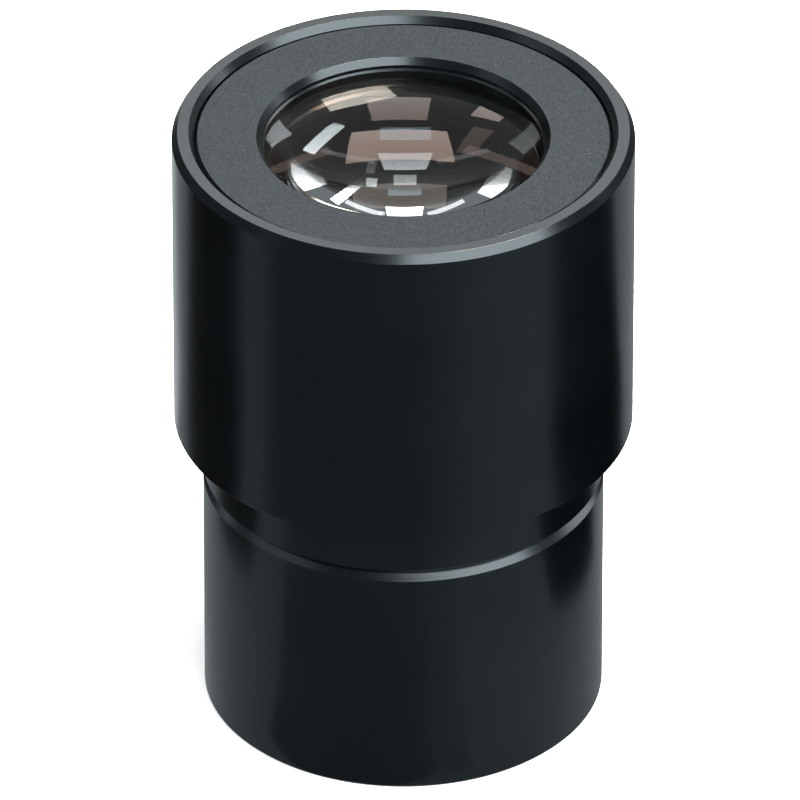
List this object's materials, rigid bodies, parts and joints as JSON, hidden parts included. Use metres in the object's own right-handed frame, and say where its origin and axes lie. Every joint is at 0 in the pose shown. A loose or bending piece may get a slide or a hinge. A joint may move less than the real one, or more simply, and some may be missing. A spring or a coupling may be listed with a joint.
{
  "type": "telescope eyepiece",
  "caption": "Fixed-focus eyepiece: smooth black housing with a recessed matt ring around a large eye lens, stepping down to a push-fit barrel that unscrews.",
  "frame": {"origin": "centre of the barrel's lower rim, on the plane the eyepiece stands on", "axes": "+Z along the optical axis towards the eye; the part is round about Z, apart from two spanner slots, which run along X"},
  "size_m": [0.0362, 0.0362, 0.0517],
  "materials": {
    "black_anodised": "satin black anodised, fine turned",
    "matt_anodised": "bead-blasted black anodised",
    "baffle_black": "matt black anodised",
    "crown_glass": "polished, single-layer coated",
    "flint_glass": "polished, single-layer coated"
  },
  "bodies": {
    "barrel": {"barrel_tube": "black_anodised", "field_stop": "baffle_black", "field_stop_ring": "baffle_black"},
    "lens_stack": {"eye_lens": "crown_glass", "lens_spacer": "baffle_black", "field_lens_crown": "crown_glass", "field_lens_flint": "flint_glass"},
    "head": {"housing": "black_anodised", "face_plate": "matt_anodised"}
  },
  "joints": [
    {"name": "head_rise", "type": "slide", "parent": "barrel", "child": "lens_stack", "axis": [0, 0, 1], "range_m": [0, 0.00375]},
    {"name": "head_turn", "type": "hinge", "parent": "lens_stack", "child": "head", "pos_m": [0, 0, 0.0207], "axis": [0, 0, 1], "range_deg": [0, 1800]}
  ],
  "couplings": [
    {"joint": "head_rise", "follows": "head_turn", "m_per_rad": 0.00011937}
  ]
}
